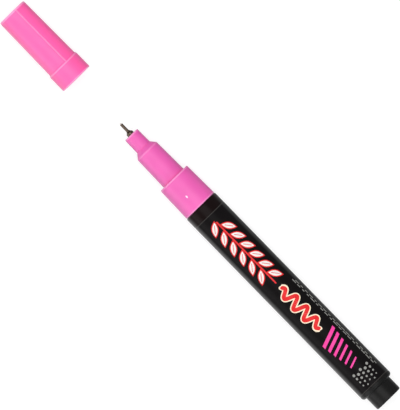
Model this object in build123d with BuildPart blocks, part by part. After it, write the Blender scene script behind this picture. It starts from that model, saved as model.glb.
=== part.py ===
from build123d import *
import math
import os

# Liquid chalk marker: a tank barrel, a valve front with a sprung needle tip, and a pull-off cap.
# Millimetres. The marker lies on Z = 0 with its axis along X: the cap's closed end points to -X and
# the tail to +X. The cap stands off in line with the tip, and slides along X to close the marker.

# Clearances
push_clearance = 0.03
running_clearance = 0.06
stop_clearance = 0.05
cap_fit_clearance = 0.05
ball_clearance = 0.05

# Barrel and its printed film
barrel_diameter = 12.5
barrel_length = 79.6
barrel_wall = 1.2
barrel_front_chamfer = 0.3
bare_band_length = 4.0
label_thickness = 0.1
label_end_gap = 0.15
label_seam_gap = 0.3

# Tail plug
tail_flange_thickness = 1.6
tail_flange_chamfer = 0.7
tail_flange_chamfer_share = 0.6
tail_boss_diameter = 10.0
tail_boss_length = 5.2
tail_boss_chamfer = 0.35
tail_wall = 1.3
tail_spigot_length = 7.0
tail_bead_count = 1
tail_bead_radius = 0.2
tail_bead_height = 0.12
tail_bead_sides = 6

# Front section: spigot, collar, nose, cone and snout in one moulding
spigot_length = 8.0
collar_length = 12.3
collar_step = 0.15
collar_draft = 0.225
collar_front_chamfer = 0.25
collar_rear_chamfer = 0.12
nose_length = 12.15
nose_draft = 0.2
nose_front_chamfer = 0.25
nose_wall = 1.2
cone_length = 1.7
snout_length = 5.65
snout_rear_diameter = 5.55
snout_front_diameter = 5.4
snout_front_chamfer = 0.2
snout_lip_length = 1.0
valve_pocket_depth = 6.0

# Seal ring between the front section and the barrel
seal_groove_inset = 0.6
seal_groove_width = 0.9
seal_groove_depth = 0.7
seal_sides = 6

# Needle sleeve and writing core
needle_tube_diameter = 1.0
needle_tube_length = 2.8
needle_tube_wall = 0.12
needle_flare_length = 1.0
needle_base_diameter = 2.45
needle_base_reach = 0.8
needle_socket_diameter = 1.8
needle_socket_depth = 1.3
nib_reach = 0.45
nib_length = 15.0

# Tip holder: the plunger that carries the needle and pushes the valve
tip_travel = 1.8
holder_guide_diameter = 3.7
holder_guide_length = 5.0
holder_neck_diameter = 2.6
holder_neck_length = 6.0
holder_flange_thickness = 2.4
holder_flute_count = 4
holder_flute_diameter = 0.8
holder_stem_socket_depth = 3.0
holder_feed_hole_diameter = 0.8

# Valve: seat, gasket, stem, spring and cage
seat_thickness = 2.2
seat_hole_diameter = 3.0
seat_lip_width = 0.5
seat_lip_height = 0.3
gasket_diameter = 4.6
gasket_thickness = 0.9
stem_diameter = 1.8
stem_head_diameter = 4.8
stem_head_thickness = 0.9
stem_boss_diameter = 2.4
stem_boss_length = 1.2
stem_tail_diameter = 1.5
stem_tail_reach = 0.4
stem_end_chamfer = 0.2
spring_mean_diameter = 3.4
spring_wire_diameter = 0.45
spring_wire_sides = 6
spring_length = 8.0
spring_turns = 5
cage_diameter = 7.58
cage_wall = 0.85
cage_end_thickness = 1.0
cage_window_length = 4.0
cage_window_width = 2.2

# Mixing ball, loose in the tank
ball_diameter = 5.2

# Cap shell with its anti-roll rib
cap_length = 29.8
cap_draft = 0.225
cap_shoulder_length = 0.5
cap_shoulder_step = 0.35
cap_skirt_length = 6.15
cap_skirt_wall = 0.75
cap_end_wall = 1.3
cap_end_chamfer = 0.35
cap_mouth_chamfer = 0.2
cap_post_room = 0.3
cap_post_step = 0.69
cap_seat_gap = 0.2
cap_rest_gap = 19.9
cap_rib_angle = 16
cap_rib_width = 0.6
cap_rib_height = 0.16

# Inner cap: the liner that seals on the snout
liner_wall = 0.6
liner_web_thickness = 1.0
liner_mouth_gap = 0.3
liner_snout_room = 0.5
liner_needle_room_diameter = 3.8
liner_tip_room = 1.0
liner_fin_count = 4
liner_fin_thickness = 0.7

# Stations along X, from the tail forward, with the whole marker centred on X = 0
needle_reach = needle_base_reach + needle_flare_length + needle_tube_length + nib_reach
tip_length = nose_length + cone_length + snout_length + needle_reach
pen_length = tail_boss_length + tail_flange_thickness + barrel_length + collar_length + tip_length
tail_face_x = (pen_length + cap_rest_gap + cap_length) / 2
flange_rear_x = tail_face_x - tail_boss_length
barrel_rear_x = flange_rear_x - tail_flange_thickness
barrel_front_x = barrel_rear_x - barrel_length
collar_front_x = barrel_front_x - collar_length
nose_front_x = collar_front_x - nose_length
cone_front_x = nose_front_x - cone_length
snout_front_x = cone_front_x - snout_length
lip_rear_x = snout_front_x + snout_lip_length
base_front_x = snout_front_x - needle_base_reach
flare_front_x = base_front_x - needle_flare_length
tube_front_x = flare_front_x - needle_tube_length
nib_tip_x = tube_front_x - nib_reach
cap_mouth_x = nib_tip_x - cap_rest_gap
cap_end_x = cap_mouth_x - cap_length
cap_travel = collar_front_x - cap_seat_gap - cap_mouth_x

# Radii about the axis: the cap fits over the tail boss and grips the nose
barrel_radius = barrel_diameter / 2
axis_z = barrel_radius
label_seat_radius = barrel_radius - label_thickness
tank_radius = barrel_radius - barrel_wall
collar_rear_radius = barrel_radius - collar_step
collar_front_radius = collar_rear_radius - collar_draft
spigot_radius = tank_radius - push_clearance
cage_radius = cage_diameter / 2
pocket_radius = cage_radius + push_clearance
tail_boss_radius = tail_boss_diameter / 2
post_radius = tail_boss_radius + cap_fit_clearance
grip_radius = post_radius - cap_post_step
cap_post_depth = tail_boss_length + cap_post_room
nose_slope = nose_draft / nose_length
nose_rear_radius = grip_radius - cap_fit_clearance + nose_slope * (cap_post_depth - cap_seat_gap)
nose_front_radius = nose_rear_radius - nose_draft
chamber_radius = nose_front_radius - nose_wall
guide_bore_radius = holder_guide_diameter / 2 + running_clearance
lip_bore_radius = needle_base_diameter / 2 + running_clearance
nib_bore_radius = needle_tube_diameter / 2 - needle_tube_wall
nib_radius = nib_bore_radius - push_clearance

# The marker's axis, and the planes that its profiles are drawn on
marker_axis = Axis((0, 0, axis_z), (1, 0, 0))


def profile_plane(angle=0):
    """Plane through the axis: local x is X, local y the radius, turned from up (+Z) towards +Y."""
    turn = math.radians(angle)
    return Plane((0, 0, axis_z), x_dir=(1, 0, 0), z_dir=(0, -math.cos(turn), math.sin(turn)))


def cross_plane(x):
    """Plane square to the axis at a station, facing the tail."""
    return Plane((x, 0, axis_z), x_dir=(0, 1, 0), z_dir=(1, 0, 0))


# Barrel: an open tube with a low seat for the film behind a bare band
band_rear_x = barrel_front_x + bare_band_length

with BuildPart() as barrel:
    with BuildSketch(profile_plane()):
        with BuildLine():
            Polyline(
                (barrel_front_x, tank_radius),
                (barrel_front_x, barrel_radius),
                (band_rear_x, barrel_radius),
                (band_rear_x, label_seat_radius),
                (barrel_rear_x, label_seat_radius),
                (barrel_rear_x, tank_radius),
                close=True,
            )
        make_face()
    revolve(axis=marker_axis)
    chamfer(barrel.edges().group_by(Axis.X)[0].sort_by(SortBy.RADIUS)[-1], barrel_front_chamfer)

# Printed film: wrapped once round the barrel, its two ends meeting underneath
label_seam_arc = math.degrees(label_seam_gap / label_seat_radius)

with BuildPart() as barrel_label:
    with BuildSketch(profile_plane(180 - label_seam_arc / 2)):
        with BuildLine():
            Polyline(
                (band_rear_x + label_end_gap, label_seat_radius),
                (band_rear_x + label_end_gap, label_seat_radius + label_thickness),
                (barrel_rear_x - label_end_gap, label_seat_radius + label_thickness),
                (barrel_rear_x - label_end_gap, label_seat_radius),
                close=True,
            )
        make_face()
    revolve(axis=marker_axis, revolution_arc=360 - label_seam_arc)

# Tail plug: a cored boss and flange on a beaded spigot that seals in the barrel
tail_bore_radius = tail_boss_radius - tail_wall
tail_spigot_radius = tank_radius - push_clearance - tail_bead_height
tail_spigot_front_x = barrel_rear_x - tail_spigot_length
tail_bead_pitch = tail_spigot_length / (tail_bead_count + 1)
tail_flange_step = barrel_radius - tail_boss_radius
tail_flange_bevel = min(tail_flange_chamfer, tail_flange_step * tail_flange_chamfer_share)

with BuildPart() as tail_plug:
    with BuildSketch(profile_plane()):
        with BuildLine():
            Polyline(
                (tail_face_x, 0),
                (tail_face_x, tail_boss_radius),
                (flange_rear_x, tail_boss_radius),
                (flange_rear_x, barrel_radius),
                (barrel_rear_x, barrel_radius),
                (barrel_rear_x, tail_spigot_radius),
                (tail_spigot_front_x, tail_spigot_radius),
                (tail_spigot_front_x, tail_bore_radius),
                (tail_face_x - tail_wall, tail_bore_radius),
                (tail_face_x - tail_wall, 0),
                close=True,
            )
        make_face()
        for bead in range(tail_bead_count):
            bead_x = tail_spigot_front_x + tail_bead_pitch * (bead + 1)
            with Locations((bead_x, tail_spigot_radius + tail_bead_height - tail_bead_radius)):
                RegularPolygon(tail_bead_radius, tail_bead_sides, major_radius=False)
    revolve(axis=marker_axis)
    flange_edges = tail_plug.edges().filter_by(GeomType.CIRCLE).group_by(SortBy.RADIUS)[-1]
    chamfer(flange_edges.sort_by(Axis.X)[-1], tail_flange_bevel)
    chamfer(tail_plug.edges().group_by(Axis.X)[-1], tail_boss_chamfer)

# Front section: stepped outside with moulding draft, bored for the holder and the valve
spigot_rear_x = barrel_front_x + spigot_length
pocket_front_x = spigot_rear_x - valve_pocket_depth
chamber_front_x = nose_front_x + nose_wall
groove_front_x = barrel_front_x + seal_groove_inset
groove_rear_x = groove_front_x + seal_groove_width
groove_floor_radius = spigot_radius - seal_groove_depth

with BuildPart() as front_section:
    with BuildSketch(profile_plane()) as front_outline:
        with BuildLine():
            Polyline(
                (snout_front_x, lip_bore_radius),
                (snout_front_x, snout_front_diameter / 2),
                (cone_front_x, snout_rear_diameter / 2),
                (nose_front_x, nose_front_radius),
                (collar_front_x, nose_rear_radius),
                (collar_front_x, collar_front_radius),
                (barrel_front_x, collar_rear_radius),
                (barrel_front_x, spigot_radius),
                (groove_front_x, spigot_radius),
                (groove_front_x, groove_floor_radius),
                (groove_rear_x, groove_floor_radius),
                (groove_rear_x, spigot_radius),
                (spigot_rear_x, spigot_radius),
                (spigot_rear_x, pocket_radius),
                (pocket_front_x, pocket_radius),
                (pocket_front_x, chamber_radius),
                (chamber_front_x, chamber_radius),
                (chamber_front_x, guide_bore_radius),
                (lip_rear_x, guide_bore_radius),
                (lip_rear_x, lip_bore_radius),
                close=True,
            )
        make_face()
        corners = front_outline.vertices()
        chamfer(corners.group_by(Axis.X)[0].sort_by(Axis.Y)[-1], snout_front_chamfer)
        corners = front_outline.vertices()
        chamfer(corners.sort_by_distance((nose_front_x, nose_front_radius))[0], nose_front_chamfer)
        corners = front_outline.vertices()
        chamfer(corners.sort_by_distance((collar_front_x, collar_front_radius))[0], collar_front_chamfer)
        corners = front_outline.vertices()
        chamfer(corners.sort_by(Axis.Y)[-1], collar_rear_chamfer)
    revolve(axis=marker_axis)

# Seal ring: in the spigot's groove, against the barrel's bore
seal_room = tank_radius - groove_floor_radius

with BuildPart() as barrel_seal:
    with BuildSketch(profile_plane()):
        with Locations(((groove_front_x + groove_rear_x) / 2, groove_floor_radius + seal_room / 2)):
            RegularPolygon(seal_room / 2 - push_clearance, seal_sides, major_radius=False)
    revolve(axis=marker_axis)

# Tip holder: a fluted plunger, stopped by the snout's lip, bored for the writing core
guide_front_x = lip_rear_x + stop_clearance
guide_rear_x = guide_front_x + holder_guide_length
flange_front_x = guide_rear_x + holder_neck_length
holder_rear_x = flange_front_x + holder_flange_thickness
needle_pin_front_x = guide_front_x - needle_socket_depth + stop_clearance
needle_pin_radius = needle_socket_diameter / 2 - push_clearance
nib_rear_x = nib_tip_x + nib_length
stem_front_x = holder_rear_x - holder_stem_socket_depth
holder_flange_radius = chamber_radius - running_clearance

with BuildPart() as tip_holder:
    with BuildSketch(profile_plane()):
        with BuildLine():
            Polyline(
                (needle_pin_front_x, nib_bore_radius),
                (needle_pin_front_x, needle_pin_radius),
                (guide_front_x, needle_pin_radius),
                (guide_front_x, holder_guide_diameter / 2),
                (guide_rear_x, holder_guide_diameter / 2),
                (guide_rear_x, holder_neck_diameter / 2),
                (flange_front_x, holder_neck_diameter / 2),
                (flange_front_x, holder_flange_radius),
                (holder_rear_x, holder_flange_radius),
                (holder_rear_x, stem_diameter / 2 + push_clearance),
                (stem_front_x - stop_clearance, stem_diameter / 2 + push_clearance),
                (stem_front_x - stop_clearance, 0),
                (nib_rear_x + stop_clearance, 0),
                (nib_rear_x + stop_clearance, nib_bore_radius),
                close=True,
            )
        make_face()
    revolve(axis=marker_axis)
    for radius, start_x, length in (
        (holder_guide_diameter / 2, guide_front_x, holder_guide_length),
        (holder_flange_radius, flange_front_x, holder_flange_thickness),
    ):
        with BuildSketch(cross_plane(start_x)):
            with PolarLocations(radius, holder_flute_count):
                Circle(holder_flute_diameter / 2)
        extrude(amount=length, mode=Mode.SUBTRACT)
    with BuildSketch(profile_plane()):
        with Locations((nib_rear_x - holder_feed_hole_diameter, 0)):
            Circle(holder_feed_hole_diameter / 2)
    extrude(amount=holder_neck_diameter, both=True, mode=Mode.SUBTRACT)

# Needle sleeve: a thin tube that flares to a base, pressed on the holder's pin
sleeve_socket_front_x = guide_front_x - needle_socket_depth

with BuildPart() as needle_sleeve:
    with BuildSketch(profile_plane()):
        with BuildLine():
            Polyline(
                (flare_front_x, needle_tube_diameter / 2),
                (tube_front_x, needle_tube_diameter / 2),
                (tube_front_x, nib_bore_radius),
                (sleeve_socket_front_x, nib_bore_radius),
                (sleeve_socket_front_x, needle_socket_diameter / 2),
                (guide_front_x, needle_socket_diameter / 2),
                (guide_front_x, needle_base_diameter / 2),
                (base_front_x, needle_base_diameter / 2),
                close=True,
            )
        make_face()
    revolve(axis=marker_axis)

# Writing core: a thin rod that stands out of the tube with a round point
with BuildPart() as nib_core:
    with BuildSketch(profile_plane()):
        with BuildLine():
            nib_side = Polyline(
                (nib_tip_x + nib_radius, nib_radius),
                (nib_rear_x, nib_radius),
                (nib_rear_x, 0),
                (nib_tip_x, 0),
            )
            RadiusArc(nib_side @ 1, nib_side @ 0, nib_radius)
        make_face()
    revolve(axis=marker_axis)

# Valve seat: a pushed-in disc with a raised ring round its hole
seat_rear_x = pocket_front_x + seat_thickness
seat_lip_rear_x = seat_rear_x + seat_lip_height
seat_lip_radius = seat_hole_diameter / 2 + seat_lip_width

with BuildPart() as valve_seat:
    with BuildSketch(profile_plane()):
        with BuildLine():
            Polyline(
                (pocket_front_x, seat_hole_diameter / 2),
                (pocket_front_x, cage_radius),
                (seat_rear_x, cage_radius),
                (seat_rear_x, seat_lip_radius),
                (seat_lip_rear_x, seat_lip_radius),
                (seat_lip_rear_x, seat_hole_diameter / 2),
                close=True,
            )
        make_face()
    revolve(axis=marker_axis)

# Valve gasket: a flat ring on the stem, closing on the seat's raised ring
gasket_front_x = seat_lip_rear_x + stop_clearance
gasket_rear_x = gasket_front_x + gasket_thickness

with BuildPart() as valve_gasket:
    with BuildSketch(cross_plane(gasket_front_x)):
        Circle(gasket_diameter / 2)
        Circle(stem_diameter / 2 + push_clearance, mode=Mode.SUBTRACT)
    extrude(amount=gasket_thickness)

# Valve stem: a rod from the holder to the head, a boss in the spring and a guided tail
head_rear_x = gasket_rear_x + stem_head_thickness
spring_end_x = head_rear_x + spring_length
cage_rear_x = spring_end_x + cage_end_thickness
stem_rear_x = cage_rear_x + stem_tail_reach

with BuildPart() as valve_stem:
    with BuildSketch(profile_plane()):
        with BuildLine():
            Polyline(
                (stem_front_x, 0),
                (stem_front_x, stem_diameter / 2),
                (gasket_rear_x, stem_diameter / 2),
                (gasket_rear_x, stem_head_diameter / 2),
                (head_rear_x, stem_head_diameter / 2),
                (head_rear_x, stem_boss_diameter / 2),
                (head_rear_x + stem_boss_length, stem_boss_diameter / 2),
                (head_rear_x + stem_boss_length, stem_tail_diameter / 2),
                (stem_rear_x, stem_tail_diameter / 2),
                (stem_rear_x, 0),
                close=True,
            )
        make_face()
    revolve(axis=marker_axis)
    ends = valve_stem.edges().filter_by(GeomType.CIRCLE).group_by(Axis.X)
    chamfer(ends[0] + ends[-1], stem_end_chamfer)

# Valve spring: open turns between the stem's head and the cage's end wall
spring_radius = spring_mean_diameter / 2
spring_start_x = head_rear_x + spring_wire_diameter / 2 + stop_clearance
spring_pitch = (spring_end_x - spring_wire_diameter / 2 - stop_clearance - spring_start_x) / spring_turns
turn_angle = 2 * math.pi
arcs_per_turn = 4


def coil_point(turn):
    """Point on the spring's centre line after so many turns."""
    angle = turn_angle * turn
    across = spring_radius * math.cos(angle)
    up = axis_z + spring_radius * math.sin(angle)
    return Vector(spring_start_x + spring_pitch * turn, across, up)


def coil_direction(turn):
    """Unit direction of the spring's centre line after so many turns."""
    angle = turn_angle * turn
    sweep_length = turn_angle * spring_radius
    return Vector(spring_pitch, -sweep_length * math.sin(angle), sweep_length * math.cos(angle)).normalized()


def biarc_middle(start, start_direction, end, end_direction):
    """Point where two arcs meet that leave and arrive along the given directions."""
    chord = end - start
    both = start_direction + end_direction
    spread = 2 * (1 - start_direction.dot(end_direction))
    along = chord.dot(both)
    reach = (math.sqrt(along**2 + spread * chord.dot(chord)) - along) / spread
    return (start + end + (start_direction - end_direction) * reach) * 0.5


with BuildPart() as valve_spring:
    with BuildLine() as coil:
        for step in range(spring_turns * arcs_per_turn):
            start_turn = step / arcs_per_turn
            end_turn = (step + 1) / arcs_per_turn
            start, start_direction = coil_point(start_turn), coil_direction(start_turn)
            end, end_direction = coil_point(end_turn), coil_direction(end_turn)
            middle = biarc_middle(start, start_direction, end, end_direction)
            first_arc = TangentArc(start, middle, tangent=start_direction)
            TangentArc(middle, end, tangent=first_arc % 1)
    with BuildSketch(Plane(coil_point(0), z_dir=coil_direction(0))):
        RegularPolygon(spring_wire_diameter / 2, spring_wire_sides)
    sweep()

samples_per_turn = 48
centres = [coil_point(step / samples_per_turn) for step in range(spring_turns * samples_per_turn + 1)]
next_turn = samples_per_turn // 2
spring_gap = min(
    (centre - other).length
    for index, centre in enumerate(centres)
    for other in centres[index + next_turn:]
) - spring_wire_diameter
print(f"valve spring: least gap between turns {spring_gap:.2f} mm")

# Valve cage: a cup pushed in behind the seat, with windows for the ink and a hole for the stem's tail
cage_bore_radius = cage_radius - cage_wall
cage_window_x = (spigot_rear_x + spring_end_x) / 2

with BuildPart() as valve_cage:
    with BuildSketch(profile_plane()):
        with BuildLine():
            Polyline(
                (seat_rear_x, cage_bore_radius),
                (seat_rear_x, cage_radius),
                (cage_rear_x, cage_radius),
                (cage_rear_x, stem_tail_diameter / 2 + running_clearance),
                (spring_end_x, stem_tail_diameter / 2 + running_clearance),
                (spring_end_x, cage_bore_radius),
                close=True,
            )
        make_face()
    revolve(axis=marker_axis)
    for window_plane in (profile_plane(), profile_plane(90)):
        with BuildSketch(window_plane):
            with Locations((cage_window_x, 0)):
                Rectangle(cage_window_length, cage_window_width)
        extrude(amount=cage_radius, both=True, mode=Mode.SUBTRACT)

# Mixing ball: loose on the floor of the tank, resting against the tail plug's spigot
ball_radius = ball_diameter / 2
ball_x = tail_spigot_front_x - ball_clearance - ball_radius
ball_z = axis_z - tank_radius + ball_radius + ball_clearance
ball_travel = ball_x - ball_radius - ball_clearance - tip_travel - stem_rear_x

with BuildPart() as mixing_ball:
    with Locations((ball_x, 0, ball_z)):
        Sphere(ball_radius)

# Cap: a tapered shell with a wider skirt that also fits over the tail, and one rib against rolling
skirt_front_x = cap_mouth_x - cap_skirt_length
shoulder_front_x = skirt_front_x - cap_shoulder_length
cap_skirt_radius = post_radius + cap_skirt_wall
cap_body_radius = cap_skirt_radius - cap_shoulder_step
cap_end_radius = cap_body_radius - cap_draft
cap_floor_x = cap_end_x + cap_end_wall
rib_rear_x = shoulder_front_x + cap_shoulder_length * cap_rib_height / cap_shoulder_step
rib_front_x = cap_end_x + cap_end_chamfer
rib_arc = math.degrees(cap_rib_width / cap_body_radius)
rib_root_radius = (grip_radius + cap_end_radius) / 2

with BuildPart() as cap:
    with BuildSketch(profile_plane()):
        with BuildLine():
            Polyline(
                (cap_end_x, 0),
                (cap_end_x, cap_end_radius),
                (shoulder_front_x, cap_body_radius),
                (skirt_front_x, cap_skirt_radius),
                (cap_mouth_x, cap_skirt_radius),
                (cap_mouth_x, post_radius),
                (cap_mouth_x - cap_post_depth, post_radius),
                (cap_mouth_x - cap_post_depth, grip_radius),
                (cap_floor_x, grip_radius),
                (cap_floor_x, 0),
                close=True,
            )
        make_face()
    revolve(axis=marker_axis)
    chamfer(cap.edges().group_by(Axis.X)[0], cap_end_chamfer)
    chamfer(cap.edges().group_by(Axis.X)[-1], cap_mouth_chamfer)
    with BuildSketch(profile_plane(cap_rib_angle + rib_arc / 2)):
        with BuildLine():
            Polyline(
                (rib_front_x, rib_root_radius),
                (rib_front_x, cap_end_radius),
                (rib_front_x + cap_rib_height, cap_end_radius + cap_rib_height),
                (shoulder_front_x, cap_body_radius + cap_rib_height),
                (rib_rear_x, cap_body_radius + cap_rib_height),
                (rib_rear_x, rib_root_radius),
                close=True,
            )
        make_face()
    revolve(axis=marker_axis, revolution_arc=rib_arc)

# Inner cap: a finned liner tube on the cap's floor, with a web that closes it past the needle
liner_bore_radius = snout_rear_diameter / 2 + cap_fit_clearance
liner_radius = liner_bore_radius + liner_wall
seated_cone_front_x = cap_mouth_x - nose_length - cone_length + cap_seat_gap
liner_mouth_x = seated_cone_front_x - liner_mouth_gap
snout_stop_x = seated_cone_front_x - snout_length - liner_snout_room
needle_room_end_x = seated_cone_front_x - snout_length - needle_reach - liner_tip_room
web_front_x = needle_room_end_x - liner_web_thickness
liner_fin_reach = grip_radius - push_clearance

with BuildPart() as inner_cap:
    with BuildSketch(profile_plane()):
        with BuildLine():
            Polyline(
                (liner_mouth_x, liner_bore_radius),
                (liner_mouth_x, liner_radius),
                (cap_floor_x, liner_radius),
                (cap_floor_x, liner_needle_room_diameter / 2),
                (web_front_x, liner_needle_room_diameter / 2),
                (web_front_x, 0),
                (needle_room_end_x, 0),
                (needle_room_end_x, liner_needle_room_diameter / 2),
                (snout_stop_x, liner_needle_room_diameter / 2),
                (snout_stop_x, liner_bore_radius),
                close=True,
            )
        make_face()
    revolve(axis=marker_axis)
    with BuildSketch(cross_plane(cap_floor_x)):
        with PolarLocations(liner_radius, liner_fin_count):
            Rectangle((liner_fin_reach - liner_radius + liner_wall / 2) * 2, liner_fin_thickness)
        Circle(liner_radius - liner_wall / 2, mode=Mode.SUBTRACT)
        Circle(liner_fin_reach, mode=Mode.INTERSECT)
    extrude(amount=snout_stop_x - cap_floor_x)

# Each finished piece goes to its own file
pieces = {
    "barrel": barrel,
    "barrel_label": barrel_label,
    "tail_plug": tail_plug,
    "front_section": front_section,
    "barrel_seal": barrel_seal,
    "tip_holder": tip_holder,
    "needle_sleeve": needle_sleeve,
    "nib_core": nib_core,
    "valve_seat": valve_seat,
    "valve_gasket": valve_gasket,
    "valve_stem": valve_stem,
    "valve_spring": valve_spring,
    "valve_cage": valve_cage,
    "cap": cap,
    "inner_cap": inner_cap,
    "mixing_ball": mixing_ball,
}

os.makedirs("parts", exist_ok=True)
for name, piece in pieces.items():
    piece.part.label = name
    export_step(piece.part, f"parts/{name}.step")
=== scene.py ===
"""Looks of the liquid chalk marker: pink cap and front, black barrel in printed film, steel needle tip."""

import logging
import math
from collections.abc import Callable, Sequence
from dataclasses import dataclass, replace
from enum import Enum
from functools import partial, partialmethod

import bmesh
import bpy
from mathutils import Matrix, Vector


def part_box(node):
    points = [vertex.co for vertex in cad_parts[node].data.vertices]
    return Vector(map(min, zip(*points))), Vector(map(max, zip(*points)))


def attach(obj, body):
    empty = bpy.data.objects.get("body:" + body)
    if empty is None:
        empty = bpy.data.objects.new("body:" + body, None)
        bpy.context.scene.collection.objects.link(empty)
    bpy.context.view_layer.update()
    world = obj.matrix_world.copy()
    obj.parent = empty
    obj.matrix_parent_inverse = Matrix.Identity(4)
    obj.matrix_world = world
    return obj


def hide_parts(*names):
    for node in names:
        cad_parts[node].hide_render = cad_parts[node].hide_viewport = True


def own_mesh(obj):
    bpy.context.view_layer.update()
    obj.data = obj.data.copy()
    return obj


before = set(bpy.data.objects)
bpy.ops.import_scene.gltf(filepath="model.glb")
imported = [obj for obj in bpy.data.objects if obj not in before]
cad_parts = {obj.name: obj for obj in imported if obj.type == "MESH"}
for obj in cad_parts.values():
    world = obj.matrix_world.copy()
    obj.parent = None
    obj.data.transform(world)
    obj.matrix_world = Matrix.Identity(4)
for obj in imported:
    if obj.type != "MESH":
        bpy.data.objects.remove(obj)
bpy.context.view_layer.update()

MM = 0.001
AXIS_HEIGHT = sum(corner.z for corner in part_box("barrel")) / 2 / MM
LOG = logging.getLogger("chalk_marker")
EDGE = "edge"
WELD = 1e-7
WHITE = (1.0, 1.0, 1.0, 1.0)

Point = tuple[float, float]
Place = tuple[float, float, float]
Bend = tuple[float, float, float]
Colour = tuple[float, float, float, float]
Piece = bpy.types.Object
Node = bpy.types.Node
Outputs = bpy.types.NodeOutputs
Socket = bpy.types.NodeSocket
Tree = bpy.types.NodeTree


class Body(Enum):
    """Moving bodies of the marker."""

    MARKER = "marker"
    TIP = "tip"
    CAP = "cap"


class Motif(Enum):
    """Shapes that the film's pattern is made of."""

    LEAF = "leaf"
    DASH = "dash"
    DOT = "dot"
    BAR = "bar"
    WAVE = "wave"


class Layer(Enum):
    """Heights over the film of inks that lie one on another, in millimetres."""

    FIRST = 0.014
    SECOND = 0.02
    THIRD = 0.025


class Effect(Enum):
    """Surface effects that several finishes share."""

    GRAIN = "moulded_grain"
    HANDLING = "handling_marks"
    TURNING = "turned_lines"
    SPECKS = "fine_specks"
    # painted highlight on outer edges and painted shade in hollows
    EDGES = "painted_edge_light"


def span(node: str) -> Point:
    """First and last station of a CAD node along the marker, in millimetres."""
    low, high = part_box(node)
    return low.x / MM, high.x / MM


@dataclass(frozen=True)
class Tone:
    """A screen colour in eight-bit steps."""

    red: float
    green: float
    blue: float

    def linear(self) -> Colour:
        """The colour as light, by the curve of sRGB.

        Returns:
            Its red, green and blue, with full alpha.
        """
        shares = (step / 255 for step in (self.red, self.green, self.blue))
        light = (s / 12.92 if s <= 0.04045 else ((s + 0.055) / 1.055) ** 2.4 for s in shares)
        return (*light, 1.0)


class Graph:
    """Adds and joins the nodes of one node tree."""

    def __init__(self, tree: Tree) -> None:
        """Empties the tree that the nodes go into."""
        self.tree = tree
        self.tree.nodes.clear()

    def feed(self, node: Node, key: str | int, value: object) -> None:
        """Joins a socket to a node's input, or sets the input to a plain value.

        Args:
            node: The node.
            key: Name or place of its input.
            value: The socket or the plain value.
        """
        if isinstance(value, Socket):
            self.tree.links.new(value, node.inputs[key])
        else:
            node.inputs[key].default_value = value

    def node(self, kind: str, inputs: dict[str | int, object] | None = None, **settings: object) -> Node:
        """Adds a node.

        Args:
            kind: Blender's name for the node.
            inputs: Values or sockets for its inputs, by name or place.
            settings: Properties of the node.

        Returns:
            The new node.
        """
        made = self.tree.nodes.new(kind)
        for key, value in settings.items():
            setattr(made, key, value)
        for key, value in (inputs or {}).items():
            self.feed(made, key, value)
        return made

    def math(self, operation: str, first: object, second: object = 0.0) -> Socket:
        """Joins two numbers by an operation."""
        return self.node("ShaderNodeMath", {0: first, 1: second}, operation=operation).outputs[0]

    add = partialmethod(math, "ADD")
    take = partialmethod(math, "SUBTRACT")
    times = partialmethod(math, "MULTIPLY")
    over = partialmethod(math, "DIVIDE")
    most = partialmethod(math, "MAXIMUM")

    def fit(self, value: Socket, source: Point, target: Point = (0.0, 1.0)) -> Socket:
        """Maps a number from one range to another, held at the ends."""
        ends = {1: source[0], 2: source[1], 3: target[0], 4: target[1]}
        return self.node("ShaderNodeMapRange", {0: value, **ends}, clamp=True).outputs[0]

    def mix(self, factor: Socket, first: object, second: object) -> Socket:
        """Mixes two colours."""
        return self.node("ShaderNodeMix", {0: factor, 6: first, 7: second}, data_type="RGBA").outputs[2]

    def noise(self, place: Socket, scale: float, detail: float, distortion: float = 0.0) -> Socket:
        """Noise over a place."""
        inputs = {0: place, "Scale": scale, "Detail": detail, "Distortion": distortion}
        return self.node("ShaderNodeTexNoise", inputs).outputs[0]

    def stretch(self, place: Socket, factors: Place) -> Socket:
        """A place multiplied along each axis."""
        return self.node("ShaderNodeVectorMath", {0: place, 1: factors}, operation="MULTIPLY").outputs[0]

    def axis(self, place: Socket, index: int) -> Socket:
        """A place's number along one axis."""
        return self.node("ShaderNodeSeparateXYZ", {0: place}).outputs[index]

    def join(self, *numbers: object) -> Socket:
        """A place made from its numbers along the axes."""
        return self.node("ShaderNodeCombineXYZ", dict(enumerate(numbers))).outputs[0]

    def place(self) -> Socket:
        """The place on a piece, in metres."""
        return self.node("ShaderNodeTexCoord").outputs["Object"]


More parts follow.
